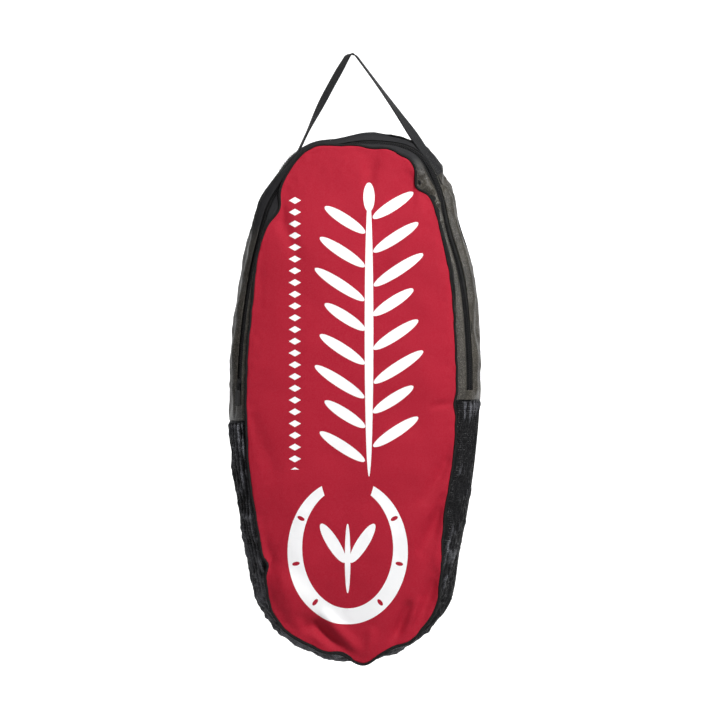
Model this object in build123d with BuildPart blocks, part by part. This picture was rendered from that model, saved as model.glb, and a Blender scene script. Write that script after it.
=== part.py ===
"""Hay bag: a tall oval bag hung by a webbing handle.

The front panel is solid cloth and the back is net. A gusset joins them: cloth with a zip
round the upper half, net round the lower half. Piping covers both seams. The handle is a
webbing loop whose two ends are sewn onto the top of the gusset.

Millimetres, +Z up. The front faces -Y. The origin is the point under the top of the
handle where a hook holds it, so the whole bag hangs below z = 0.
"""

import os
from math import asin, atan2, cos, degrees, hypot, radians, sin, sqrt

from build123d import *

# Bag: seen from the front, the outline is an oval of four tangent arcs.
bag_height = 800.0
bag_width = 380.0
bag_depth = 90.0
handle_from_front = 48.0  # front panel to the plane the handle hangs in
end_radius = 155.0
front_inset = 30.0  # how far the front seam lies inside the widest outline
back_inset = 3.0
bulge_radius = 90.0  # the gusset's outward bulge, seen in a level section
fabric = 1.2

# Trim
piping_radius = 2.5
seam_tape_width = 20.0
seam_tape = 0.8
thread = 0.8  # stitching stands this far off the webbing

# Zip, measured across the gusset from the front seam
zip_from_seam = 16.5  # front seam to the middle of the zip
teeth_half_width = 3.4
teeth_thickness = 2.4
teeth_gap = 2.0  # between the two rows, where the slider's post runs
tape = 0.6
tape_width = 12.0  # one side, teeth not counted
tape_showing = 3.1  # tape left bare beside the teeth
stop_length = 3.0
stop_from_seam = 5.0
end_tab_width = 20.0
end_tab_length = 15.0
end_tab = 1.0

# Slider
slider_length = 12.0
slider_width = 10.4
slider_plate = 1.0
slider_flange = 1.0
slider_play = 0.4  # round the teeth
slot_play = 0.6  # round the tape
post_width = 1.3
post_length = 3.0
crown_length = 8.0
crown_width = 2.0
crown_bar = 0.8
crown_room = 2.0  # free height under the crown
slider_rest = 26.0  # middle of the slider above the side seam when the zip is shut

# Puller
pin_radius = 0.65
link_width = 5.0
link_arm = 1.0
link_thickness = 1.2
link_length = 14.0
grip_length = 24.0
grip_width = 8.0
grip_thickness = 3.0
grip_overlap = 5.0
grip_lift = 0.8  # grip's middle stands this far above the link's
pin_below = 2.0  # pin below the slider's middle, in the crown

# Handle
loop_rise = 128.0  # top of the bag up to the hook
strap_width = 20.0
strap = 2.0
fold_above_bag = 4.0  # the handle folds at this height over the bag
tab_from = 36.0  # degrees from the top of the bag, where the sewn end starts
tab_length = 40.0
fold_tip = 0.8  # half width of the strap at the fold
fold_gap = 1.0  # between the two tips, so that they clear each other as the bag swings
fold_taper = 12.0
apex_half = 7.0  # half width of the loop's flat top, where it lies over the hook
stitch_inset = 3.0
stitch = 1.0

gap = 0.5  # between pieces that move apart
touch = 0.05  # between sewn pieces whose faces curve apart

# Worked out
half_width = bag_width / 2
half_height = bag_height / 2
bag_top = -loop_rise
middle_z = bag_top - half_height
side_radius = (half_width**2 + half_height**2 - 2 * half_height * end_radius) / (
    2 * (half_width - end_radius)
)
side_x = side_radius - half_width  # the left arc's centre, and minus the right's
blend = degrees(atan2(half_height - end_radius, side_x))  # where side and end arcs meet

front_y = -handle_from_front
back_y = front_y + bag_depth
front_seam_x = half_width - front_inset
back_seam_x = half_width - back_inset
chord = hypot(back_seam_x - front_seam_x, bag_depth)
chord_depth = sqrt(bulge_radius**2 - (chord / 2) ** 2)
bulge_x = (front_seam_x + back_seam_x) / 2 - chord_depth * bag_depth / chord
bulge_y = (front_y + back_y) / 2 + chord_depth * (back_seam_x - front_seam_x) / chord
front_angle = degrees(atan2(front_y - bulge_y, front_seam_x - bulge_x))
back_angle = degrees(atan2(back_y - bulge_y, back_seam_x - bulge_x))
inner_radius = bulge_radius - fabric

section_plane = Plane.XY.offset(middle_z)  # cuts the bag level at its widest


def across(distance):
    """Angle on the gusset's bulge at a distance from the front seam, in degrees."""
    return front_angle + degrees(distance / bulge_radius)


def side_arc(x_sign, start, size, inset=0.0):
    CenterArc((-x_sign * side_x, middle_z), side_radius - inset, start, size)


def end_arc(z_sign, start, inset=0.0):
    centre = middle_z + z_sign * (half_height - end_radius)
    CenterArc((0, centre), end_radius - inset, start, 180 - 2 * blend)


def upper_outline(inset=0.0):
    """From the right side's middle, over the top, to the left side's middle."""
    side_arc(1, 0, blend, inset)
    end_arc(1, blend, inset)
    side_arc(-1, 180 - blend, blend, inset)


def lower_outline(inset=0.0):
    """From the left side's middle, round the bottom, to the right side's middle."""
    side_arc(-1, 180, blend, inset)
    end_arc(-1, 180 + blend, inset)
    side_arc(1, -blend, blend, inset)


def band(inner, outer, from_angle, to_angle):
    """A strip of the gusset's section at the right side, between two radii."""
    with BuildSketch(section_plane) as strip:
        with BuildLine():
            centre = (bulge_x, bulge_y)
            out = CenterArc(centre, outer, from_angle, to_angle - from_angle)
            inn = CenterArc(centre, inner, from_angle, to_angle - from_angle)
            Line(out @ 0, inn @ 0)
            Line(out @ 1, inn @ 1)
        make_face()
    return strip.sketch


def upper_strip(inner, outer, from_angle, to_angle):
    """A strip of cloth, tape or teeth round the upper half of the bag."""
    with BuildPart() as strip:
        with BuildLine(Plane.XZ):
            upper_outline()
        sweep(sections=band(inner, outer, from_angle, to_angle))
    return strip


def piping(x, y):
    """A cord sewn all round the bag, from its place in the right side's section."""
    with BuildPart() as cord:
        with BuildLine(Plane.XZ):
            upper_outline()
            lower_outline()
        with BuildSketch(section_plane):
            with Locations((x, y)):
                Circle(piping_radius)
        sweep()
    return cord


def save(part, label):
    part.part.label = label
    export_step(part.part, f"parts/{label}.step")


os.makedirs("parts", exist_ok=True)

# ---- Panels ----
# Each panel is sewn to the gusset's edge, and the piping lies outside the corner.
piping_out = bulge_radius + piping_radius + touch
front_piping_y = front_y + piping_radius - fabric
front_turn = asin((front_piping_y - bulge_y) / piping_out)
front_piping_x = bulge_x + piping_out * cos(front_turn)
rear_piping_y = back_y + fabric - piping_radius
rear_turn = asin((rear_piping_y - bulge_y) / piping_out)
rear_piping_x = bulge_x + piping_out * cos(rear_turn)

with BuildPart() as front_panel:
    with BuildSketch(Plane.XZ.offset(-front_y)):
        with BuildLine():
            upper_outline(front_inset)
            lower_outline(front_inset)
        make_face()
    extrude(amount=fabric)
save(front_panel, "front_panel")

with BuildPart() as back_panel:
    with BuildSketch(Plane.XZ.offset(-back_y)):
        with BuildLine():
            upper_outline(back_inset)
            lower_outline(back_inset)
        make_face()
    extrude(amount=-fabric)
save(back_panel, "back_panel")

save(piping(front_piping_x, front_piping_y), "front_piping")
save(piping(rear_piping_x, rear_piping_y), "rear_piping")

# ---- Gusset ----
zip_angle = across(zip_from_seam)
zip_room = degrees((teeth_half_width + tape_showing) / bulge_radius)
save(upper_strip(inner_radius, bulge_radius, front_angle, zip_angle - zip_room),
     "gusset_front_strip")
save(upper_strip(inner_radius, bulge_radius, zip_angle + zip_room, back_angle),
     "gusset_rear_strip")

with BuildPart() as net_gusset:
    with BuildLine(Plane.XZ):
        lower_outline()
    sweep(sections=mirror(band(inner_radius, bulge_radius, front_angle, back_angle),
                          about=Plane.YZ, mode=Mode.PRIVATE))
save(net_gusset, "net_gusset")

# ---- Zip ----
tape_out = inner_radius
tape_middle = tape_out - tape / 2
teeth_angle = degrees(teeth_half_width / tape_middle)
gap_angle = degrees(teeth_gap / 2 / tape_middle)
tape_angle = degrees((teeth_half_width + tape_width) / tape_middle)
teeth_in = tape_middle - teeth_thickness / 2
teeth_out = tape_middle + teeth_thickness / 2

save(upper_strip(tape_out - tape, tape_out, zip_angle - tape_angle, zip_angle - teeth_angle),
     "zip_tape_front")
save(upper_strip(tape_out - tape, tape_out, zip_angle + teeth_angle, zip_angle + tape_angle),
     "zip_tape_rear")
save(upper_strip(teeth_in, teeth_out, zip_angle - teeth_angle, zip_angle - gap_angle),
     "zip_teeth_front")
save(upper_strip(teeth_in, teeth_out, zip_angle + gap_angle, zip_angle + teeth_angle),
     "zip_teeth_rear")


def side_piece(x_sign, inner, outer, from_angle, to_angle, low, high):
    """A short piece of band on one side, between two heights from the side seam."""
    start = degrees(low / side_radius)
    size = degrees((high - low) / side_radius)
    with BuildPart() as piece:
        with BuildLine(Plane.XZ):
            CenterArc((-side_x, middle_z), side_radius, start, size)
        sections = band(inner, outer, from_angle, to_angle)
        sweep(sections=sections.rotate(Axis((-side_x, 0, middle_z), (0, 1, 0)), -start))
        if x_sign < 0:
            mirror(about=Plane.YZ, mode=Mode.REPLACE)
    return piece


with BuildPart() as zip_stops:
    for side in (-1, 1):
        add(side_piece(side, teeth_in, teeth_out, zip_angle - gap_angle,
                       zip_angle + gap_angle, stop_from_seam, stop_from_seam + stop_length).part)
save(zip_stops, "zip_stops")

end_tab_start = degrees(front_turn + (piping_radius + gap) / bulge_radius)
end_tab_end = end_tab_start + degrees(end_tab_width / bulge_radius)
for side, name in ((-1, "left"), (1, "right")):
    save(side_piece(side, bulge_radius, bulge_radius + end_tab, end_tab_start, end_tab_end,
                    0, end_tab_length), f"zip_end_tab_{name}")

# ---- Binding inside each side, where the net is sewn to the cloth ----
for side, name in ((-1, "left"), (1, "right")):
    save(side_piece(side, inner_radius - seam_tape, inner_radius,
                    zip_angle + tape_angle + degrees(touch / bulge_radius),
                    back_angle - degrees(fabric / bulge_radius),
                    -seam_tape_width / 2, seam_tape_width / 2), f"seam_binding_{name}")

# ---- Handle ----
# The loop runs straight from the hook to each sewn end. It folds just above the bag, and
# both sides narrow to a point there so that the bag swings freely.
end_z = middle_z + half_height - end_radius
tab_turn = radians(tab_from)
tab_x = end_radius * sin(tab_turn)
tab_z = end_z + end_radius * cos(tab_turn)
fold_z = bag_top + fold_above_bag
lean = (tab_x - apex_half) / (strap / 2 - tab_z)  # sideways run for each mm down
fold_x = apex_half + lean * (strap / 2 - fold_z)


def strap_section(below, half):
    """A cut through the strap below the fold on the right side, level."""
    with BuildSketch(Plane((fold_x + lean * below, 0, fold_z - below))) as section:
        Rectangle(strap * hypot(1, lean), 2 * half)
    return section.sketch


with BuildPart() as handle_loop:
    with BuildSketch(Plane.XZ):
        with BuildLine():
            Polyline((-fold_x, fold_z), (-apex_half, strap / 2), (apex_half, strap / 2),
                     (fold_x, fold_z))
            offset(amount=strap / 2, side=Side.BOTH, kind=Kind.INTERSECTION,
                   mode=Mode.REPLACE)
        make_face()
    extrude(amount=strap_width / 2, both=True)
    with BuildSketch(Plane.YZ):
        with BuildLine():
            wide = strap_width / 2
            Polyline((-wide, 2 * strap), (-wide, fold_z + fold_taper),
                     (-fold_tip, fold_z + fold_gap / 2), (fold_tip, fold_z + fold_gap / 2),
                     (wide, fold_z + fold_taper), (wide, 2 * strap), close=True)
        make_face()
    extrude(amount=bag_width, both=True, mode=Mode.INTERSECT)
save(handle_loop, "handle_loop")

tab_middle = degrees(asin(-bulge_y / bulge_radius))  # on the gusset, in the handle's plane


def end_piece(inner, outer, half_turn, start, length):
    """A band round the right of the top arc, from a turn from the top, going down."""
    turn = degrees(length / end_radius)
    section = band(inner, outer, tab_middle - half_turn, tab_middle + half_turn)
    section = section.moved(Location((end_radius - half_width, 0, end_z - middle_z)))
    with BuildPart() as piece:
        with BuildLine(Plane.XZ):
            CenterArc((0, end_z), end_radius, 90 - start, -turn)
        sweep(sections=section.rotate(Axis((0, 0, end_z), (0, 1, 0)), start - 90))
    return piece


tab_out = bulge_radius + strap
tab_half = degrees(strap_width / 2 / bulge_radius)
with BuildPart() as tab:
    sewn = end_piece(bulge_radius, tab_out, tab_half, tab_from, tab_length).part
    add(sewn)
    start = sewn.faces().filter_by(GeomType.PLANE).sort_by_distance((tab_x, 0, tab_z))[0]
    full_width = strap_section(fold_taper, strap_width / 2).faces()[0]
    loft(sections=[start, full_width], ruled=True)
    loft(sections=[full_width, strap_section(fold_gap / 2, fold_tip).faces()[0]], ruled=True)
save(tab, "handle_tab_right")
with BuildPart() as tab_left:
    add(mirror(tab.part, about=Plane.YZ, mode=Mode.PRIVATE))
save(tab_left, "handle_tab_left")

# A square of thread on each sewn end
stitch_turn = degrees(stitch / bulge_radius)
square_half = degrees((strap_width / 2 - stitch_inset) / bulge_radius)
square_start = tab_from + degrees(stitch_inset / end_radius)
square_length = tab_length - 2 * stitch_inset
with BuildPart() as stitching:
    add(end_piece(tab_out, tab_out + thread, square_half, square_start, square_length).part)
    add(end_piece(tab_out - gap, tab_out + 2 * thread, square_half - stitch_turn,
                  square_start + degrees(stitch / end_radius),
                  square_length - 2 * stitch).part, mode=Mode.SUBTRACT)
save(stitching, "handle_stitching_right")
with BuildPart() as stitching_left:
    add(mirror(stitching.part, about=Plane.YZ, mode=Mode.PRIVATE))
save(stitching_left, "handle_stitching_left")

# ---- Slider and puller, on the left side of the zip ----
# Local axes: x runs across the zip towards the front, y runs up it and z points out.
zip_turn = radians(zip_angle)
zip_x = bulge_x + tape_middle * cos(zip_turn)
zip_y = bulge_y + tape_middle * sin(zip_turn)
run_radius = side_radius - half_width + zip_x
rise = slider_rest / side_radius
slider_plane = Plane(
    origin=(side_x - run_radius * cos(rise), zip_y, middle_z + run_radius * sin(rise)),
    x_dir=(-cos(rise) * sin(zip_turn), -cos(zip_turn), sin(rise) * sin(zip_turn)),
    z_dir=(-cos(rise) * cos(zip_turn), sin(zip_turn), sin(rise) * cos(zip_turn)),
)
plate_in = teeth_thickness / 2 + slider_play
plate_out = plate_in + slider_plate
slot = tape / 2 + slot_play

with BuildPart() as slider_body:
    for side in (-1, 1):
        with BuildSketch(slider_plane.offset(side * plate_in)):
            RectangleRounded(slider_width, slider_length, slider_flange)
        extrude(amount=side * slider_plate)
        for edge in (-1, 1):
            with BuildSketch(slider_plane.offset(side * slot)):
                with Locations((edge * (slider_width - slider_flange) / 2, 0)):
                    Rectangle(slider_flange, slider_length - 2 * slider_flange)
            extrude(amount=side * (plate_in - slot))
    with BuildSketch(slider_plane):
        with Locations((0, (slider_length - post_length) / 2)):
            Rectangle(post_width, post_length)
    extrude(amount=plate_in, both=True)
    with BuildSketch(slider_plane.offset(plate_out)):
        Rectangle(crown_width, crown_length)
    extrude(amount=crown_room + crown_bar)
    with BuildSketch(slider_plane.offset(plate_out)):
        Rectangle(2 * crown_width, crown_length - 2 * crown_bar)
    extrude(amount=crown_room, mode=Mode.SUBTRACT)
save(slider_body, "slider_body")

pin_height = plate_out + crown_room / 2
puller_plane = slider_plane.offset(pin_height)
pin_y = -pin_below
with BuildPart() as puller_link:
    with BuildSketch(puller_plane.offset(-link_thickness / 2)):
        with Locations((0, pin_y - link_length / 2)):
            Rectangle(link_width, link_length + 2 * pin_radius)
            Rectangle(link_width - 2 * link_arm, link_length + pin_radius, mode=Mode.SUBTRACT)
    extrude(amount=link_thickness)
    side_plane = Plane(origin=puller_plane.origin, x_dir=puller_plane.y_dir,
                       z_dir=puller_plane.x_dir)
    with BuildSketch(side_plane):
        with Locations((pin_y, 0)):
            Circle(pin_radius)
    extrude(amount=link_width / 2, both=True)
save(puller_link, "puller_link")

with BuildPart() as puller_grip:
    middle = pin_y - link_length + grip_overlap - grip_length / 2
    with BuildSketch(puller_plane.offset(grip_lift - grip_thickness / 2)):
        with Locations((0, middle)):
            RectangleRounded(grip_width, grip_length, grip_width / 3)
    extrude(amount=grip_thickness)
    add(puller_link.part, mode=Mode.SUBTRACT)
save(puller_grip, "puller_grip")
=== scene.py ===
# %% [markdown]
# # A hay bag in Blender
# The bag is a tall oval: a printed cloth panel in front, a net behind, and a gusset
# between them. The gusset's upper half is coated cloth with a zip in it, and its lower
# half is gathered net. A webbing loop carries it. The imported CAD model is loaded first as
# a fixed frame. Every soft piece is then made round it at the same place and size.

from math import asin, atan2, cos, degrees, exp, hypot, pi, radians, sin, sqrt

import bmesh
import bpy
from mathutils import Matrix, Vector, noise


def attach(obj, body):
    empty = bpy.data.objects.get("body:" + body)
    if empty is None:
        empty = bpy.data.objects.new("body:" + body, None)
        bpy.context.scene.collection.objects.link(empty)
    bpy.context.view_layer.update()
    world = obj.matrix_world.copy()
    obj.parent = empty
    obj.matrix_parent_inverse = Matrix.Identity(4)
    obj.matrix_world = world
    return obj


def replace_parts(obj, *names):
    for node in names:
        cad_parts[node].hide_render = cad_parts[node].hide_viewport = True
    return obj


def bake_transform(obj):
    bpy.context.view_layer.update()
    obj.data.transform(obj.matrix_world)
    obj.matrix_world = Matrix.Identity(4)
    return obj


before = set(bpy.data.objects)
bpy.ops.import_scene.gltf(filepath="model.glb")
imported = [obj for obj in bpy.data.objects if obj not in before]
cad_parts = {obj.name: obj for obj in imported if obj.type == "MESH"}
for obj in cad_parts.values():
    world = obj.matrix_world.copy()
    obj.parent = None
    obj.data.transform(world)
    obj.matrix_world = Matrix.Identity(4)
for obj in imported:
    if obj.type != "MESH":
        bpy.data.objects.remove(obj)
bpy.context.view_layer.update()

# %% [markdown]
# ## The bag's lines
# Everything soft follows one oval of four tangent arcs, so one function gives the point
# and the outward direction at any share of the way round. A second function gives the
# gusset's bulge. Pieces made from the same two functions meet without gaps, which is why
# they are written as functions and not drawn piece by piece.

# %% The oval outline
HALF_WIDTH, HALF_HEIGHT, END_RADIUS = 0.190, 0.400, 0.155
MIDDLE_Z = -0.528
SIDE_RADIUS = (HALF_WIDTH**2 + HALF_HEIGHT**2 - 2 * HALF_HEIGHT * END_RADIUS) / (
    2 * (HALF_WIDTH - END_RADIUS)
)
SIDE_X = SIDE_RADIUS - HALF_WIDTH
END_Z = HALF_HEIGHT - END_RADIUS
BLEND = atan2(END_Z, SIDE_X)
SIDE_RUN = SIDE_RADIUS * BLEND
END_RUN = END_RADIUS * (pi - 2 * BLEND)
HALF_ROUND = 2 * SIDE_RUN + END_RUN
ROUND = 2 * HALF_ROUND

# %% How the oval hangs
# Each shoulder: x of its middle, how far it swells, and its half width
SHOULDERS = ((0.084, 0.0150, 0.042), (-0.082, 0.0125, 0.036))
LEAN = 0.013  # the hung bag's top leans this far to the right
SLIDER_TOP = 0.283  # the slider runs this far above the bag's middle, on the left
HUMP_X, HUMP = 0.030, 0.006  # the top edge rises a little right of the middle
# Two swells of the right side: how far out, how far above the middle, and half height
SWELLS = ((0.012, 0.21, 0.085), (0.006, 0.06, 0.12))
BELLY = {-1: 0.008, 1: 0.011}  # the bottom is this much fuller at the left and right


def hang(x, z, nx, nz):
    """The clean oval's point as it hangs: fuller shoulders, and a top that leans. On the
    left it stays the clean arc as high as the slider runs."""
    if z > 0.15:
        if x < 0:
            free, lean = smooth_step(SLIDER_TOP, 0.325, z), smooth_step(SLIDER_TOP, 0.385, z)
        else:
            free, lean = smooth_step(0.15, 0.30, z), smooth_step(0.25, 0.37, z)
        for middle, lift, half in SHOULDERS:
            swell = lift * exp(-(((x - middle) / half) ** 2)) * free
            x, z = x + nx * swell, z + nz * swell
        x += LEAN * lean
    if x > 0:
        (high, high_z, high_half), (low, low_z, low_half) = SWELLS
        x += high * exp(-(((z - high_z) / high_half) ** 2)) * (nx > 0)
        x += low * exp(-(((z - low_z) / low_half) ** 2)) * nx
    x += BELLY[1 if x > 0 else -1] * nx * smooth_step(-0.22, -0.33, z)
    z += HUMP * exp(-(((x - HUMP_X) / 0.060) ** 2)) * smooth_step(0.30, 0.38, z)
    return x, z


def smooth_step(low, high, value):
    t = min(1.0, max(0.0, (value - low) / (high - low)))
    return t * t * (3 - 2 * t)


def oval(share):
    """Point (x, z) and outward direction at a share of the way round, from the right
    side's middle, over the top, down the left and round the bottom."""
    share %= 1.0
    below = share > 0.5
    run = (share - 0.5 if below else share) * ROUND
    if run < SIDE_RUN:
        turn, centre_x, centre_z, radius = run / SIDE_RADIUS, -SIDE_X, 0.0, SIDE_RADIUS
    elif run < SIDE_RUN + END_RUN:
        turn = BLEND + (run - SIDE_RUN) / END_RADIUS
        centre_x, centre_z, radius = 0.0, END_Z, END_RADIUS
    else:
        turn = pi - BLEND + (run - SIDE_RUN - END_RUN) / SIDE_RADIUS
        centre_x, centre_z, radius = SIDE_X, 0.0, SIDE_RADIUS
    x, z = centre_x + radius * cos(turn), centre_z + radius * sin(turn)
    nx, nz = cos(turn), sin(turn)
    if below:
        x, z, nx, nz = -x, -z, -nx, -nz
    x, z = hang(x, z, nx, nz)
    return x, z + MIDDLE_Z, nx, nz


print("round the bag:", round(ROUND, 3), "m")

# %% The front seam, with the tucks that the hanging cloth takes
FRONT_Y, BACK_Y = -0.048, 0.042
BACK_INSET = 0.003
# Each tuck: x and z of its middle, how far it pulls the seam in, and its half length
TUCKS = [
    (0.109, -0.193, 0.021, 0.023),
    (0.126, -0.262, -0.005, 0.030),
    (0.030, -0.141, 0.007, 0.022),
    (-0.050, -0.148, -0.007, 0.028),
    (-0.090, -0.165, -0.010, 0.030),
    (-0.106, -0.196, -0.008, 0.022),
    (-0.112, -0.243, 0.010, 0.018),
    (-0.138, -0.310, -0.006, 0.050),
    (0.146, -0.532, 0.004, 0.012),
    (0.141, -0.610, -0.004, 0.050),
    (-0.128, -0.776, 0.007, 0.010),
    (-0.060, -0.893, 0.007, 0.034),
    (-0.018, -0.908, 0.008, 0.020),
    (0.056, -0.905, 0.006, 0.022),
    (0.080, -0.154, 0.009, 0.027),
    (0.126, -0.790, -0.009, 0.060),
]
# The slack cloth hangs out over the bottom here: the same numbers, outwards
DROOP = (0.015, -0.925, 0.008, 0.020)
RIGHT_INSET, LEFT_INSET, TOP_INSET, LOW_INSET = 0.041, 0.030, 0.022, 0.011
SEAM_WAVE = 0.0012


def even_inset(nx, nz):
    """How far the front seam would lie inside the oval without its tucks."""
    side = RIGHT_INSET if nx > 0 else LEFT_INSET
    share = nx * nx if nz > 0 else nx**4
    return side * share + (TOP_INSET if nz > 0 else LOW_INSET) * (1 - share)


def front_inset(x, z, nx, nz):
    """How far it lies inside with them, at an oval point."""
    inset = even_inset(nx, nz)
    seam_x, seam_z = x - nx * inset, z - nz * inset
    for tuck_x, tuck_z, depth, half in TUCKS:
        away = hypot(seam_x - tuck_x, seam_z - tuck_z)
        inset += depth * exp(-((away / half) ** 2))
    x0, z0, depth, half = DROOP
    inset -= depth * exp(-((hypot(x - x0, z - z0) / half) ** 2))
    return max(inset, -0.003)


def front_seam(share):
    x, z, nx, nz = oval(share)
    inset = front_inset(x, z, nx, nz)
    inset += SEAM_WAVE * noise.noise(Vector((x * 45, 3.0, z * 45)))
    return Vector((x - nx * inset, FRONT_Y, z - nz * inset))


# %% The gusset's bulge
BULGE = 0.090
FRONT_INSET = 0.030
STEP_IN, DEPTH = FRONT_INSET - BACK_INSET, BACK_Y - FRONT_Y
CHORD = hypot(STEP_IN, DEPTH)
CHORD_DEPTH = sqrt(BULGE**2 - CHORD**2 / 4)
BULGE_X = HALF_WIDTH - (FRONT_INSET + BACK_INSET) / 2 - CHORD_DEPTH * DEPTH / CHORD
BULGE_Y = (FRONT_Y + BACK_Y) / 2 + CHORD_DEPTH * STEP_IN / CHORD
FRONT_TURN = atan2(FRONT_Y - BULGE_Y, HALF_WIDTH - FRONT_INSET - BULGE_X)
BACK_TURN = atan2(BACK_Y - BULGE_Y, HALF_WIDTH - BACK_INSET - BULGE_X)
ZIP_TURN = FRONT_TURN + 0.0165 / BULGE
ZIP_ROOM = 0.0065 / BULGE
# The seam's tucks fade out over these turns; on the left, short of the slider's path
SEAM_PULL = {-1: 0.0125 / BULGE, 1: 0.020 / BULGE}
# High on the right the zip sinks this deep, over this half width
ZIP_SINK, SINK_HALF, SINK_Z, SINK_LONG = 0.0095, 0.0085, -0.295, 0.075


def gusset_point(share, turn, lift=0.0):
    """A point on the gusset's outer face. High on the right the zip sinks into a fold."""
    x, z, nx, nz = oval(share)
    if x > 0:
        sink = ZIP_SINK * exp(-(((z - SINK_Z) / SINK_LONG) ** 2))
        lift -= sink * exp(-(((turn - ZIP_TURN) * BULGE / SINK_HALF) ** 2))
    out = BULGE_X - HALF_WIDTH + (BULGE + lift) * cos(turn)
    y = BULGE_Y + (BULGE + lift) * sin(turn)
    point = Vector((x + nx * out, y, z + nz * out))
    pull = max(0.0, 1 - (turn - FRONT_TURN) / SEAM_PULL[1 if x > 0 else -1])
    if pull > 0:
        corner_out = BULGE_X - HALF_WIDTH + BULGE * cos(FRONT_TURN)
        corner = Vector((x + nx * corner_out, FRONT_Y, z + nz * corner_out))
        point += (front_seam(share) - corner) * pull * pull
    return point


print("gusset turns:", [round(degrees(a), 1) for a in (FRONT_TURN, ZIP_TURN, BACK_TURN)])

# %% [markdown]
# ## Ways to make cloth uneven
# Real cloth never hangs as a clean surface. It could be simulated, but the folds here
# come from how the seams gather the cloth, and a seam's gathers are easier to place one
# by one. Noise gives the small unevenness. Its seed never changes, so each run is alike.


# %% Noise helpers
def rumple(point, size, seed=0.0):
    """Soft noise from -1 to 1 with lumps of about the given size in metres."""
    return noise.noise(Vector((point.x / size + seed, point.y / size, point.z / size)))


def crumple(point, size, seed=0.0):
    """Creased noise: flat facets that meet in sharp ridges."""
    a = abs(rumple(point, size, seed))
    b = abs(rumple(point, size * 0.47, seed + 9.0))
    return 1.0 - 2.6 * a - 0.9 * b


def grid_sheet(name, along, across, place):
    """A sheet from a grid of faces. place takes two numbers from 0 to 1 and gives the
    point there."""
    bm = bmesh.new()
    bmesh.ops.create_grid(bm, x_segments=along, y_segments=across, size=1.0)
    uv = bm.loops.layers.uv.new("UVMap")
    for face in bm.faces:
        for loop in face.loops:
            loop[uv].uv = ((loop.vert.co.x + 1) / 2, (loop.vert.co.y + 1) / 2)
    for vert in bm.verts:
        vert.co = place((vert.co.x + 1) / 2, (vert.co.y + 1) / 2)
    return bm


def finish_mesh(bm, name, thickness=0.0, outwards=None, smooth=True):
    """Writes a bmesh as a new object. A thickness is added inwards as a modifier."""
    if outwards is not None:
        face = max(bm.faces, key=lambda f: f.calc_area())
        if face.normal.dot(outwards(face.calc_center_median())) < 0:
            bmesh.ops.reverse_faces(bm, faces=bm.faces)
    bm.normal_update()
    mesh = bpy.data.meshes.new(name)
    bm.to_mesh(mesh)
    bm.free()
    obj = bpy.data.objects.new(name, mesh)
    bpy.context.collection.objects.link(obj)
    for polygon in mesh.polygons:
        polygon.use_smooth = smooth
    if thickness:
        wall = obj.modifiers.new("Wall", "SOLIDIFY")
        wall.thickness = thickness
        wall.offset = -1.0
        wall.use_even_offset = False
    print(name, len(mesh.polygons), "faces")
    return obj


def from_axis(point):
    """Out of the bag, away from its middle line."""
    return Vector((point.x, 0.0, (point.z - MIDDLE_Z) * 0.5))


# %% [markdown]
# ## Materials
# Each finish is a small tree of nodes: a colour that varies, a weave that only shows
# close up, and a bump for it. Weaves read Object coordinates in metres, so the thread
# pitch is the same on every piece.


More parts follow.
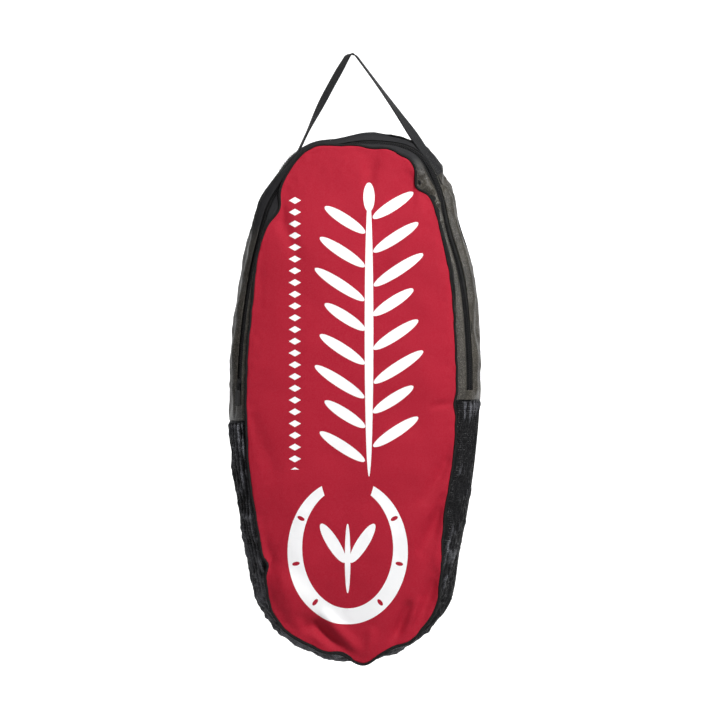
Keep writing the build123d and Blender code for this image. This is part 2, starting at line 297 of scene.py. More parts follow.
# %% Material helpers
class Tree:
    """A material's nodes, added in one line each."""

    def __init__(self, name):
        self.material = bpy.data.materials.new(name)
        self.material.use_nodes = True
        self.nodes = self.material.node_tree.nodes
        self.links = self.material.node_tree.links
        self.shader = self.nodes["Principled BSDF"]
        self.place = self.add("ShaderNodeTexCoord").outputs["Object"]

    def add(self, kind, **settings):
        node = self.nodes.new(kind)
        for key, value in settings.items():
            setattr(node, key, value)
        return node

    def join(self, source, target):
        self.links.new(source, target)

    def math(self, operation, a, b=None, clamp=False):
        node = self.add("ShaderNodeMath", operation=operation, use_clamp=clamp)
        for socket, value in zip(node.inputs, (a, b)):
            if value is None:
                continue
            if isinstance(value, (int, float)):
                socket.default_value = value
            else:
                self.join(value, socket)
        return node.outputs[0]

    def noise(self, size, detail=3.0, rough=0.5, vector=None):
        node = self.add("ShaderNodeTexNoise")
        node.inputs["Scale"].default_value = 1 / size
        node.inputs["Detail"].default_value = detail
        node.inputs["Roughness"].default_value = rough
        self.join(vector or self.place, node.inputs["Vector"])
        return node.outputs["Fac"]

    def wave(self, pitch, direction, vector=None, distort=0.0):
        node = self.add("ShaderNodeTexWave", bands_direction=direction)
        node.inputs["Scale"].default_value = 0.314159 / pitch
        node.inputs["Distortion"].default_value = distort
        self.join(vector or self.place, node.inputs["Vector"])
        return node.outputs["Fac"]

    def mix(self, share, a, b):
        node = self.add("ShaderNodeMix", data_type="RGBA")
        for socket, value in ((node.inputs[0], share), (node.inputs[6], a), (node.inputs[7], b)):
            if isinstance(value, (tuple, list)):
                socket.default_value = (*value, 1.0)
            elif isinstance(value, (int, float)):
                socket.default_value = value
            else:
                self.join(value, socket)
        return node.outputs[2]

    def span(self, value, low, high, to_low=0.0, to_high=1.0):
        node = self.add("ShaderNodeMapRange")
        self.join(value, node.inputs["Value"])
        for key, number in zip(("From Min", "From Max", "To Min", "To Max"),
                               (low, high, to_low, to_high)):
            node.inputs[key].default_value = number
        return node.outputs["Result"]

    def bump(self, height, distance, strength=1.0, under=None):
        node = self.add("ShaderNodeBump")
        node.inputs["Distance"].default_value = distance
        node.inputs["Strength"].default_value = strength
        self.join(height, node.inputs["Height"])
        if under is not None:
            self.join(under, node.inputs["Normal"])
        return node.outputs["Normal"]

    def close(self, colour, normal, roughness, sheen=0.0, **sockets):
        self.join(colour, self.shader.inputs["Base Color"])
        self.join(normal, self.shader.inputs["Normal"])
        if isinstance(roughness, float):
            self.shader.inputs["Roughness"].default_value = roughness
        else:
            self.join(roughness, self.shader.inputs["Roughness"])
        self.shader.inputs["Sheen Weight"].default_value = sheen
        for key, value in sockets.items():
            self.shader.inputs[key.replace("_", " ")].default_value = value
        return self.material


def ellipse(tree, x, z, half_wide, half_tall, turn=0.0):
    """1 inside an ellipse printed at x, z on the front panel, and 0 outside."""
    placed = tree.add("ShaderNodeMapping", vector_type="TEXTURE")
    placed.inputs["Location"].default_value = (x, 0, z)
    placed.inputs["Rotation"].default_value = (0, turn, 0)
    placed.inputs["Scale"].default_value = (half_wide, 1000.0, half_tall)
    tree.join(tree.place, placed.inputs["Vector"])
    length = tree.add("ShaderNodeVectorMath", operation="LENGTH")
    tree.join(placed.outputs[0], length.inputs[0])
    return tree.math("LESS_THAN", length.outputs["Value"], 1.0)


# %% [markdown]
# ### The printed front cloth
# A close polyester weave with a dull shine, and a white print. The print is made of
# ellipses in the material: a stalk of hay with its leaves, a column of small grains and
# a horseshoe. Shapes in the material keep sharp edges however close the view comes.

# %% Front cloth
RED, DEEP_RED = (0.375, 0.0085, 0.026), (0.270, 0.004, 0.014)
PRINT_WHITE = (0.90, 0.90, 0.91)


def hay_print(tree):
    """1 where the white print is."""
    shapes = [ellipse(tree, 0.024, -0.430, 0.0065, 0.212)]
    leaf_count, leaf_step, first_leaf = 8, 0.0485, -0.246
    for i in range(leaf_count):
        z = first_leaf - leaf_step * i
        reach = 0.036 + 0.004 * (i % 3)
        shapes.append(ellipse(tree, 0.024 + reach, z + 0.010, reach, 0.0082, radians(-33)))
        shapes.append(ellipse(tree, 0.024 - reach, z - 0.012, reach, 0.0082, radians(33)))
    shapes.append(ellipse(tree, 0.024, -0.224, 0.0085, 0.022))
    outer = ellipse(tree, -0.008, -0.755, 0.090, 0.109)
    inner = ellipse(tree, -0.008, -0.749, 0.068, 0.091)
    mouth = ellipse(tree, -0.008, -0.612, 0.044, 0.094)
    shoe = tree.math("SUBTRACT", tree.math("SUBTRACT", outer, inner, True), mouth, True)
    for turn in (-118, -78, -38, 38, 78, 118, 155, -155):
        angle = radians(turn - 90)
        hole = ellipse(tree, -0.008 + 0.079 * cos(angle), -0.752 + 0.100 * sin(angle),
                       0.0030, 0.0058, radians(90) - angle)
        shoe = tree.math("SUBTRACT", shoe, hole, True)
    shapes.append(shoe)
    for side in (-1, 1):
        shapes.append(ellipse(tree, -0.008 + side * 0.022, -0.742, 0.034, 0.0090,
                              radians(-side * 58)))
    shapes.append(ellipse(tree, -0.008, -0.765, 0.0042, 0.052))
    total = shapes[0]
    for shape in shapes[1:]:
        total = tree.math("MAXIMUM", total, shape)
    # The column of grains repeats, so one grain is folded over and over along z.
    axes = tree.add("ShaderNodeSeparateXYZ")
    tree.join(tree.place, axes.inputs[0])
    across = tree.math("DIVIDE", tree.math("ADD", axes.outputs["X"], 0.087), 0.0092)
    step = tree.math("PINGPONG", axes.outputs["Z"], 0.0088)
    down = tree.math("DIVIDE", step, 0.0052)
    grain = tree.math("LESS_THAN", tree.math("ADD", tree.math("ABSOLUTE", across),
                                             tree.math("ABSOLUTE", down)), 1.0)
    top = tree.math("LESS_THAN", axes.outputs["Z"], -0.222)
    low = tree.math("GREATER_THAN", axes.outputs["Z"], -0.632)
    grains = tree.math("MULTIPLY", grain, tree.math("MULTIPLY", top, low))
    return tree.math("MAXIMUM", total, grains)


def front_cloth():
    tree = Tree("front_cloth")
    printed = hay_print(tree)
    cloud = tree.span(tree.noise(0.11, 3.0), 0.35, 0.65)
    fleck = tree.span(tree.noise(0.0018, 3.0, 0.7), 0.35, 0.65)
    colour = tree.mix(tree.math("MULTIPLY", cloud, 0.22), RED, DEEP_RED)
    colour = tree.mix(tree.math("MULTIPLY", fleck, 0.16), colour, (0.50, 0.06, 0.09))
    colour = tree.mix(printed, colour, PRINT_WHITE)
    weave = tree.math("ADD", tree.wave(0.0008, "X"), tree.wave(0.0008, "Z"))
    normal = tree.bump(weave, 0.00012, 0.7)
    normal = tree.bump(tree.noise(0.006, 2.0), 0.0006, 0.35, under=normal)
    rough = tree.span(printed, 0.0, 1.0, 0.62, 0.50)
    return tree.close(colour, normal, rough, sheen=0.0, Specular_IOR_Level=0.12)


# %% [markdown]
# ### The coated gusset cloth, the net, the webbing and the trim
# The upper gusset is a coated weave whose grain varies its shine, and pale flecks in its
# colour are painted glints. Its top is painted near-black, partly its own black and partly
# painted shade. The net is knitted: rows of dark openings with a shiny yarn between. Real
# holes would be smaller than what most views can show, so the openings are drawn dark, as
# painted shade of the dark inside, and pressed in. On the gusset net, pleat tops get a
# painted highlight and their bottoms painted shade.


# %% Gusset cloth
def gusset_cloth():
    tree = Tree("gusset_cloth")
    grain = tree.noise(0.0016, 4.0, 0.75)
    cloud = tree.span(tree.noise(0.05, 3.0), 0.35, 0.65)
    colour = tree.mix(cloud, (0.013, 0.011, 0.007), (0.034, 0.029, 0.021))
    # Pale flecks in the colour are painted glints of the coated grain.
    painted_grain_glints = tree.span(grain, 0.50, 0.68)
    colour = tree.mix(tree.math("MULTIPLY", painted_grain_glints, 0.6), colour, (0.24, 0.22, 0.19))
    axes = tree.add("ShaderNodeSeparateXYZ")
    tree.join(tree.place, axes.inputs[0])
    # The top is painted near-black: partly the top band's own black, partly painted shade.
    # On the left, which lies in shadow, this painted shade reaches 100 mm lower.
    left_painted_shade_reach = tree.span(axes.outputs["X"], -0.05, 0.0, 0.100, 0.0)
    height = tree.math("ADD", axes.outputs["Z"], left_painted_shade_reach)
    high = tree.span(height, -0.196, -0.164)
    colour = tree.mix(tree.math("MULTIPLY", high, 0.96), colour, (0.004, 0.004, 0.006))
    weave = tree.math("ADD", tree.wave(0.0012, "X"), tree.wave(0.0012, "Z"))
    normal = tree.bump(weave, 0.0002, 0.6)
    normal = tree.bump(grain, 0.0007, 0.6, under=normal)
    rough = tree.span(grain, 0.35, 0.65, 0.52, 0.34)
    rough = tree.math("MAXIMUM", rough, tree.math("MULTIPLY", high, 0.80))
    return tree.close(colour, normal, rough, Specular_IOR_Level=0.50)


# %% Net
def net_cloth(name, pitch, yarn, spread, rib=0.0):
    """spread turns the sheet's UV into metres."""
    tree = Tree(name)
    placed = tree.add("ShaderNodeMapping")
    placed.inputs["Scale"].default_value = (*spread, 0.0)
    tree.join(tree.add("ShaderNodeTexCoord").outputs["UV"], placed.inputs["Vector"])
    holes = tree.add("ShaderNodeTexVoronoi", feature="F1", voronoi_dimensions="2D")
    holes.inputs["Scale"].default_value = 1 / pitch
    holes.inputs["Randomness"].default_value = 0.25
    tree.join(placed.outputs[0], holes.inputs["Vector"])
    open_part = tree.span(holes.outputs["Distance"], 0.30, 0.42, 1.0, 0.0)
    lumps = tree.noise(0.018, 3.0, 0.6)
    colour = tree.mix(tree.span(lumps, 0.3, 0.7), yarn, tuple(c * 1.8 for c in yarn))
    # The openings are painted near-black: painted shade of the bag's dark inside, seen through
    # them.
    colour = tree.mix(tree.math("MULTIPLY", open_part, 0.9), colour, (0.001, 0.001, 0.002))
    # Pleat bottoms are painted near-black as painted shade; tops keep the pale yarn as a painted
    # highlight.
    if rib:
        pleat_shade_and_highlight = tree.add("ShaderNodeAttribute", attribute_name="pleat_shade_and_highlight").outputs["Fac"]
        colour = tree.mix(tree.span(pleat_shade_and_highlight, 0.44, 1.0), (0.003, 0.003, 0.004), colour)
    normal = tree.bump(open_part, -0.0005, 0.8)
    normal = tree.bump(tree.noise(0.006, 3.0, 0.6), 0.0008, 0.6, under=normal)
    if rib:
        ribs = tree.wave(rib, "X", placed.outputs[0], 2.0)
        normal = tree.bump(ribs, 0.0008, 0.6, under=normal)
        normal = tree.bump(tree.noise(0.012, 4.0, 0.65), 0.0040, 0.8, under=normal)
    rough = tree.span(open_part, 0.0, 1.0, 0.44, 0.9)
    return tree.close(colour, normal, rough, Specular_IOR_Level=0.28)


# %% Webbing, cord, tape, teeth and metal
def webbing_cloth():
    tree = Tree("webbing")
    uv = tree.add("ShaderNodeTexCoord").outputs["UV"]
    scaled = tree.add("ShaderNodeMapping")
    scaled.inputs["Scale"].default_value = (0.40, 0.020, 1.0)
    tree.join(uv, scaled.inputs["Vector"])
    ribs = tree.wave(0.0016, "X", scaled.outputs[0])
    ends = tree.wave(0.0011, "Y", scaled.outputs[0])
    weave = tree.math("MULTIPLY", ribs, ends)
    colour = tree.mix(weave, (0.006, 0.006, 0.007), (0.020, 0.020, 0.022))
    fuzz = tree.span(tree.noise(0.002, 3.0, 0.7), 0.45, 0.75)
    colour = tree.mix(tree.math("MULTIPLY", fuzz, 0.4), colour, (0.032, 0.032, 0.034))
    return tree.close(colour, tree.bump(weave, 0.0006, 0.8), 0.68, sheen=0.05,
                      Sheen_Roughness=0.5, Specular_IOR_Level=0.25)


def plain_weave(name, dark, light, pitch, roughness, shine=0.20):
    tree = Tree(name)
    weave = tree.math("ADD", tree.wave(pitch, "DIAGONAL"), tree.wave(pitch, "Z"))
    cloud = tree.span(tree.noise(0.01, 3.0, 0.6), 0.3, 0.7)
    colour = tree.mix(cloud, dark, light)
    normal = tree.bump(weave, pitch * 0.3, 0.7)
    return tree.close(colour, normal, roughness, Specular_IOR_Level=shine)


def worn_solid(name, dark, worn, roughness, metallic=0.0, wear=0.35):
    """Moulded plastic or enamel: fine grain, and rubbed paler in patches."""
    tree = Tree(name)
    rubbed = tree.span(tree.noise(0.0025, 4.0, 0.7), 0.56, 0.74)
    colour = tree.mix(tree.math("MULTIPLY", rubbed, wear), dark, worn)
    normal = tree.bump(tree.noise(0.0004, 3.0), 0.00006, 0.6)
    rough = tree.span(rubbed, 0.0, 1.0, roughness, roughness * 0.6)
    return tree.close(colour, normal, rough, Metallic=metallic)


CLOTHS = {
    "front_cloth": front_cloth(),
    "gusset_cloth": gusset_cloth(),
    # The gusset net's yarn is black; its pale colour here is a painted highlight for the pleat
    # tops.
    "net": net_cloth("net", 0.0021, (0.125, 0.126, 0.142), (0.95, 0.125), 0.0032),
    "back_net": net_cloth("back_net", 0.0034, (0.011, 0.011, 0.014), (0.38, 0.80)),
    "webbing": webbing_cloth(),
    "trim": plain_weave("trim", (0.005, 0.005, 0.005), (0.011, 0.011, 0.011), 0.0009, 0.7),
    "tape": plain_weave("tape", (0.008, 0.008, 0.008), (0.016, 0.016, 0.016), 0.0007, 0.75),
    "thread": plain_weave("thread", (0.05, 0.05, 0.05), (0.09, 0.09, 0.09), 0.0004, 0.6),
    "zip_plastic": worn_solid("zip_plastic", (0.012, 0.012, 0.013), (0.06, 0.06, 0.06), 0.35),
    "slider_metal": worn_solid("slider_metal", (0.02, 0.02, 0.021), (0.35, 0.34, 0.33), 0.35,
                               0.6),
    "grip_plastic": worn_solid("grip_plastic", (0.014, 0.014, 0.014), (0.05, 0.05, 0.05), 0.5),
}
print("materials:", len(CLOTHS))


def dress(obj, cloth, body="bag"):
    """Gives a piece its material and its body."""
    obj.data.materials.clear()
    obj.data.materials.append(CLOTHS[cloth])
    if body:
        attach(obj, body)
    return obj


# %% [markdown]
# ## The front panel
# One flat piece of cloth, cut as an oval. It hangs nearly flat in the middle and is
# pulled into folds where the seam gathers it, most of all at the bottom, where the
# slack cloth sags over the edge. A square grid is pressed into the oval, then each
# vertex is moved forwards by a crown and by folds laid along short lines.

# %% Folds of the front panel
# Each fold: from x, z to x, z, half width, and depth (a valley is negative)
FOLDS = [
    (-0.058, -0.866, -0.008, -0.914, 0.0075, -0.0080),
    (-0.042, -0.850, 0.010, -0.908, 0.0095, 0.0070),
    (-0.066, -0.882, -0.030, -0.902, 0.0085, 0.0045),
    (-0.074, -0.856, -0.066, -0.880, 0.0080, -0.0040),
    (0.082, -0.838, 0.058, -0.900, 0.0080, -0.0072),
    (0.098, -0.832, 0.076, -0.890, 0.0080, 0.0040),
    (0.028, -0.880, 0.022, -0.926, 0.0085, 0.0045),
    (0.128, -0.790, 0.098, -0.866, 0.0120, -0.0066),
    (0.142, -0.680, 0.104, -0.750, 0.0120, -0.0070),
    (0.152, -0.700, 0.120, -0.790, 0.0110, 0.0036),
    (0.148, -0.612, 0.110, -0.676, 0.0105, -0.0062),
    (0.142, -0.640, 0.085, -0.730, 0.0140, 0.0030),
    (-0.114, -0.795, -0.082, -0.858, 0.0170, 0.0062),
    (-0.096, -0.800, -0.060, -0.838, 0.0150, 0.0030),
    (-0.132, -0.745, -0.118, -0.800, 0.0100, -0.0034),
    (0.088, -0.200, 0.020, -0.300, 0.0170, -0.0044),
    (0.108, -0.226, 0.060, -0.340, 0.0150, 0.0036),
    (-0.112, -0.240, -0.085, -0.310, 0.0100, -0.0028),
    (0.032, -0.156, 0.022, -0.210, 0.0090, -0.0032),
    (0.148, -0.532, 0.120, -0.538, 0.0060, -0.0020),
    (-0.150, -0.560, -0.118, -0.640, 0.0130, -0.0022),
]
# How far the panel stands out, above and at the slack bottom
CROWN, LOW_CROWN = 0.0070, 0.0085


def fold_height(x, z):
    height = 0.0
    for x0, z0, x1, z1, half, depth in FOLDS:
        run_x, run_z = x1 - x0, z1 - z0
        length2 = run_x * run_x + run_z * run_z
        t = min(1.0, max(0.0, ((x - x0) * run_x + (z - z0) * run_z) / length2))
        away = hypot(x - x0 - t * run_x, z - z0 - t * run_z)
        if away < 3 * half:
            fade = 0.45 + 0.55 * sin(pi * min(1.0, 0.15 + 0.85 * t))
            height += depth * fade * exp(-((away / half) ** 2))
    return height


def panel_height(x, z, edge):
    """How far the panel stands in front of its seam. edge is 0 in the middle and 1 at
    the seam."""
    point = Vector((x, 0.0, z))
    soft = 0.0026 * rumple(point, 0.085) + 0.0008 * rumple(point, 0.033, 4.0)
    pucker = 0.0006 * rumple(point, 0.011, 7.0) * smooth_step(0.80, 0.97, edge)
    hold = 1 - smooth_step(0.93, 1.0, edge)
    roll = sqrt(max(0.0, 1 - smooth_step(0.955, 1.0, edge)))
    low = smooth_step(-0.60, -0.80, z)
    crown = CROWN * (1 - edge**3) * (1 - low)
    crown += LOW_CROWN * (1 - smooth_step(0.62, 1.0, edge)) * low
    return (crown * roll + soft * roll + pucker
            + fold_height(x, z) * (0.35 + 0.65 * hold) * (0.25 + 0.75 * roll))


# %% Press the grid into the oval
def in_disc(u, v):
    """A square's point (-1 to 1 each way) as a share of the way out and a direction."""
    if abs(u) > abs(v):
        return abs(u), (0 if u > 0 else pi) + v / u * pi / 4
    if v == 0:
        return 0.0, 0.0
    return abs(v), (pi / 2 if v > 0 else -pi / 2) - u / v * pi / 4


def front_place(u, v):
    """The seam's tucks die away fast inside it, so the cloth never folds back."""
    out, turn = in_disc(2 * u - 1, 2 * v - 1)
    share = turn / (2 * pi)
    x, z, nx, nz = oval(share)
    even, seam = even_inset(nx, nz), front_seam(share)
    even_x, even_z = x - nx * even, z - nz * even
    x = even_x * out + (seam.x - even_x) * out**5
    z = MIDDLE_Z + (even_z - MIDDLE_Z) * out + (seam.z - even_z) * out**5
    return Vector((x, FRONT_Y - panel_height(x, z, out), z))


front = finish_mesh(grid_sheet("front_panel_cloth", 150, 240, front_place),
                    "front_panel_cloth", 0.0009, lambda c: Vector((0, -1, 0)))
dress(front, "front_cloth")
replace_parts(front, "front_panel")

# %% [markdown]
# ## The back panel
# The back is net of the same cut as the whole oval, held flat by the rear piping.


# %% Back panel
def back_place(u, v):
    out, turn = in_disc(2 * u - 1, 2 * v - 1)
    share = turn / (2 * pi)
    x, z, nx, nz = oval(share)
    x, z = (x - nx * BACK_INSET) * out, MIDDLE_Z + (z - nz * BACK_INSET - MIDDLE_Z) * out
    point = Vector((x, BACK_Y, z))
    sag = 0.0022 * rumple(point, 0.07, 21.0) + 0.0012 * rumple(point, 0.03, 5.0)
    return point + Vector((0, 0.0005 - abs(sag) * (1 - out**6), 0))


back = finish_mesh(grid_sheet("back_panel_net", 120, 200, back_place),
                   "back_panel_net", 0.0008, lambda c: Vector((0, 1, 0)))
dress(back, "back_net")
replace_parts(back, "back_panel")

# %% [markdown]
# ## The gusset
# The wall between the two panels. Both halves come from the same bulge, so their edges
# meet. The upper cloth is stiff and creases in facets near the handle. The lower net is
# gathered where it is sewn to the cloth, so long soft pleats run down from that seam.


# %% Where the cloth meets the net
# The cloth reaches a little lower on the left than on the right
LEFT_DROP = 0.032
LEFT_SEAM = 0.5 + LEFT_DROP / ROUND

# %% Where the handle is sewn on
TAB_FROM, SEWN = radians(36), 0.040
TAB_Y = {-1: -0.004, 1: -0.022}
TAB_TURN = {side: asin((y - BULGE_Y) / BULGE) for side, y in TAB_Y.items()}


def sewn_middle(side):
    share = 0.25 - side * (TAB_FROM * END_RADIUS + SEWN / 2) / ROUND
    return gusset_point(share, TAB_TURN[side])


SEWN_MIDDLES = {side: sewn_middle(side) for side in (-1, 1)}
print("sewn ends:", {s: [round(c, 3) for c in p] for s, p in SEWN_MIDDLES.items()})


# %% Creases and pleats
def cloth_lift(share, turn, low, high):
    """The upper cloth's height over the bulge. It is held at its two edges."""
    point = gusset_point(share, turn)
    hold = smooth_step(0.0, 0.006, (turn - low) * BULGE)
    hold *= smooth_step(0.0, 0.010, (high - turn) * BULGE)
    from_side = min(share, LEFT_SEAM - share) * ROUND
    hold *= smooth_step(0.0, 0.020, from_side)
    near_handle = exp(-(((point.x - 0.105) / 0.050) ** 2) - ((point.z + 0.200) / 0.055) ** 2)
    soft = 0.0034 * rumple(point, 0.060, 2.0) + 0.0016 * crumple(point, 0.045, 5.0)
    across = (turn - low) * BULGE
    ridge = 0.0026 * exp(-(((across - 0.012) / 0.0065) ** 2))
    ridge -= 0.0030 * exp(-(((across - 0.030) / 0.0080) ** 2))
    on_tab = 1.0
    for side in (-1, 1):
        off = (point - SEWN_MIDDLES[side]).length
        on_tab *= 1 - exp(-((off / 0.026) ** 4))
    facet = 0.0
    if point.x > 0:
        off = (point - SEWN_MIDDLES[1]).length
        facet = 0.0058 * exp(-((off / 0.034) ** 2)) * sin(
            pi / 2 * max(-1, min(1, (turn - TAB_TURN[1]) * BULGE / 0.012)))
    return hold * (on_tab * (soft + ridge
                             + 0.0070 * near_handle * crumple(point, 0.034, 11.0)) + facet)


def groove_lift(share, turn, low, high):
    """The front strip drops into a groove beside the seam. It is deepest high on the
    right, where the cloth folds under."""
    point = gusset_point(share, turn)
    t = (turn - low) / (high - low)
    folded_under = (point.x > 0) * exp(-(((point.z + 0.300) / 0.085) ** 2))
    deep, wide = 0.0024 + 0.0040 * folded_under, 0.20 + 0.22 * folded_under
    valley = smooth_step(0.0, 0.12, t) * exp(-((max(0.0, t - 0.12) / wide) ** 2))
    ridge = 0.0011 * smooth_step(0.55, 0.85, t) * (1 - smooth_step(0.90, 1.0, t))
    near_handle = exp(-(((point.x - 0.112) / 0.035) ** 2) - ((point.z + 0.215) / 0.040) ** 2)
    facets = 0.0080 * near_handle * crumple(point, 0.024, 11.0) * sin(pi * t)
    return ridge - deep * valley + facets


PLEAT_PITCH, PLEAT_HEIGHT = 0.0098, 0.0026


def net_lift(share, turn):
    """The net's height over the bulge: pleats that die away from the seam with the cloth,
    then lumps. Small lumps are left out where the outline is seen."""
    point = gusset_point(share, turn)
    across = (turn - FRONT_TURN) * BULGE
    hold = smooth_step(0.0, 0.006, across)
    hold *= smooth_step(0.0, 0.006, (BACK_TURN - turn) * BULGE)
    from_seam = min(share - LEFT_SEAM, 1.0 - share) * ROUND
    gather = exp(-from_seam / 0.20)
    drift = 0.6 * rumple(point, 0.060, 3.0) + from_seam * 1.5
    pleat = sin(2 * pi * (across / PLEAT_PITCH + drift))
    groove = -0.0030 * smooth_step(0.0, 0.002, across) * exp(-((across / 0.006) ** 2))
    held = smooth_step(0.0, 0.009, from_seam)
    off_edge = smooth_step(0.0, 0.30, abs(turn))
    pull_in = 0.0
    if point.x > 0:
        pull_in = -0.005 * smooth_step(0.0, 0.05, from_seam) * exp(-from_seam / 0.3)
    return held * groove + hold * held * (
        pull_in + PLEAT_HEIGHT * gather * pleat
        + (1 - 0.7 * gather) * 0.0034 * crumple(point, 0.040, 8.0)
        + (1 - 0.5 * gather) * 0.0022 * off_edge * crumple(point, 0.019, 4.0)
        + 0.0024 * rumple(point, 0.055, 6.0))


def upper_sheet(name, low, high, across, lift):
    def place(u, v):
        share, turn = u * LEFT_SEAM, low + (high - low) * v
        return gusset_point(share, turn, lift(share, turn, low, high))

    return finish_mesh(grid_sheet(name, 460, across, place), name, 0.0010, from_axis)


# %% Upper gusset cloth
strip_front = upper_sheet("gusset_front_strip_cloth", FRONT_TURN, ZIP_TURN - ZIP_ROOM, 14,
                          groove_lift)
dress(strip_front, "gusset_cloth")
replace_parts(strip_front, "gusset_front_strip")

strip_rear = upper_sheet("gusset_rear_strip_cloth", ZIP_TURN + ZIP_ROOM, BACK_TURN, 36,
                         cloth_lift)
dress(strip_rear, "gusset_cloth")
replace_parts(strip_rear, "gusset_rear_strip")


# %% Lower gusset net
def net_spot(u, v):
    """Share and turn of a point of the net. A share of 1 would start the round again."""
    return (min(LEFT_SEAM + (1 - LEFT_SEAM) * u, 0.9999999),
            FRONT_TURN + (BACK_TURN - FRONT_TURN) * v)


def net_place(u, v):
    share, turn = net_spot(u, v)
    return gusset_point(share, turn, net_lift(share, turn))


def pleat_shade_and_highlight_at(share, turn):
    """0 in the bottom of a pleat or hollow and 1 on top. The net's colour uses it for painted
    shade in the bottoms and a painted highlight on the tops.
    """
    return min(1.0, max(0.0, 0.5 + net_lift(share, turn) / 0.0060))


net_mesh = grid_sheet("net_gusset_cloth", 560, 80, net_place)
net_uv = net_mesh.loops.layers.uv.verify()
pleat_shade_and_highlight_layer = net_mesh.verts.layers.float.new("pleat_shade_and_highlight")
for vert in net_mesh.verts:
    vert[pleat_shade_and_highlight_layer] = pleat_shade_and_highlight_at(*net_spot(*vert.link_loops[0][net_uv].uv))
net = finish_mesh(net_mesh, "net_gusset_cloth", 0.0009, from_axis)
dress(net, "net")
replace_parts(net, "net_gusset")

# %% [markdown]
# ## Piping, side bindings and the zip's cloth
# A piping is a cord in a folded strip, sewn between two edges. It is a tube, made like a
# sheet whose long edges meet. The tapes are flat strips under the gusset's cloth.


# %% Tubes and small strips
def tube(name, centre, radius, steps, around=10):
    """A closed ring of tube. centre takes a share of the way round."""
    def place(u, v):
        here, ahead = centre(u), centre((u + 0.5 / steps) % 1.0)
        along = (ahead - here).normalized()
        side = along.cross(Vector((0, 1, 0))).normalized()
        up = side.cross(along)
        turn = 2 * pi * v
        return here + radius * (cos(turn) * side + sin(turn) * up)

    bm = grid_sheet(name, steps, around, place)
    bmesh.ops.remove_doubles(bm, verts=bm.verts, dist=1e-5)
    bmesh.ops.recalc_face_normals(bm, faces=bm.faces)
    return finish_mesh(bm, name)


def front_piping_line(share):
    seam = front_seam(share)
    _, _, nx, nz = oval(share)
    return seam + Vector((nx * 0.0012, 0.0006, nz * 0.0012))


FRONT_CORD, REAR_CORD = 0.0019, 0.0025
REAR_PIPING_Y = 0.0407
REAR_PIPING_TURN = asin((REAR_PIPING_Y - BULGE_Y) / (BULGE + REAR_CORD))


def rear_piping_line(share):
    return gusset_point(share, REAR_PIPING_TURN, 0.0022)


for name, line, radius in (("front_piping", front_piping_line, FRONT_CORD),
                           ("rear_piping", rear_piping_line, REAR_CORD)):
    cord = tube(f"{name}_cord", line, radius, 720)
    dress(cord, "trim")
    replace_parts(cord, name)


# %% Tapes, end tabs and bindings
def strip(name, shares, turns, lift, along, across, thickness, cloth, node):
    """A narrow strip on the gusset between two shares and two turns."""
    def place(u, v):
        share = shares[0] + (shares[1] - shares[0]) * u
        turn = turns[0] + (turns[1] - turns[0]) * v
        return gusset_point(share, turn, lift(share, turn) if callable(lift) else lift)

    obj = finish_mesh(grid_sheet(name, along, across, place), name, thickness, from_axis)
    dress(obj, cloth)
    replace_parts(obj, node)
    return obj


TAPE_RADIUS = 0.0885  # the tapes lie a little inside the bulge
TEETH_TURN, TAPE_TURN = 0.0030 / TAPE_RADIUS, 0.0154 / TAPE_RADIUS
for name, turns in (("front", (ZIP_TURN - TAPE_TURN * 0.88, ZIP_TURN - TEETH_TURN)),
                    ("rear", (ZIP_TURN + TEETH_TURN, ZIP_TURN + TAPE_TURN))):
    tape = strip(f"zip_tape_{name}_cloth", (0.0, LEFT_SEAM), turns, -0.0013, 360, 6, 0.0005,
                 "tape", f"zip_tape_{name}")

# The end tabs cover the zip's ends, and on the left reach down to the net
END_TAB = 0.015
END_TAB_TURNS = (radians(-43.4), radians(-30.7))
REAR_EDGE = ZIP_TURN + ZIP_ROOM


def tab_lift(share, turn):
    return 0.0014 + (cloth_lift(share, turn, REAR_EDGE, BACK_TURN) if turn > REAR_EDGE else 0)


def binding_lift(share, turn):
    return -0.0020 + (net_lift(share % 1.0, turn) if share % 1.0 > LEFT_SEAM else
                      cloth_lift(share, turn, REAR_EDGE, BACK_TURN))


for name, end, sign, reach in (("right", 0.0, 1, END_TAB),
                               ("left", LEFT_SEAM, -1, END_TAB + LEFT_DROP)):
    tab = strip(f"zip_end_tab_{name}_cloth", sorted((end, end + sign * reach / ROUND)),
                END_TAB_TURNS, tab_lift, 12, 16, 0.0009, "gusset_cloth",
                f"zip_end_tab_{name}")
    binding = strip(f"seam_binding_{name}_tape", (end - 0.010 / ROUND, end + 0.010 / ROUND),
                    (ZIP_TURN + TAPE_TURN + 0.01, BACK_TURN - 0.02), binding_lift, 16, 32,
                    0.0006, "tape", f"seam_binding_{name}")

# %% [markdown]
# ## Zip teeth
# Moulded teeth, clamped on the two tapes and meshed along the middle. One tooth is a
# small box. It is copied along the zip's line, turned to follow it, and all of them are
# bevelled at once.

# %% Teeth
TOOTH_PITCH, TOOTH_REACH = 0.0029, 0.0042


def surface_frame(share, turn, lift):
    """A turn and place with x across the zip, y along it and z out of the bag."""
    here = gusset_point(share, turn, lift)
    across = (gusset_point(share, turn + 0.01, lift) - here).normalized()
    along = (gusset_point(share + 0.0004, turn, lift) - here).normalized()
    out = across.cross(along).normalized()
    if out.dot(from_axis(here)) < 0:
        out = -out
    along = out.cross(across)
    return Matrix.Translation(here) @ Matrix((across, along, out)).transposed().to_4x4()


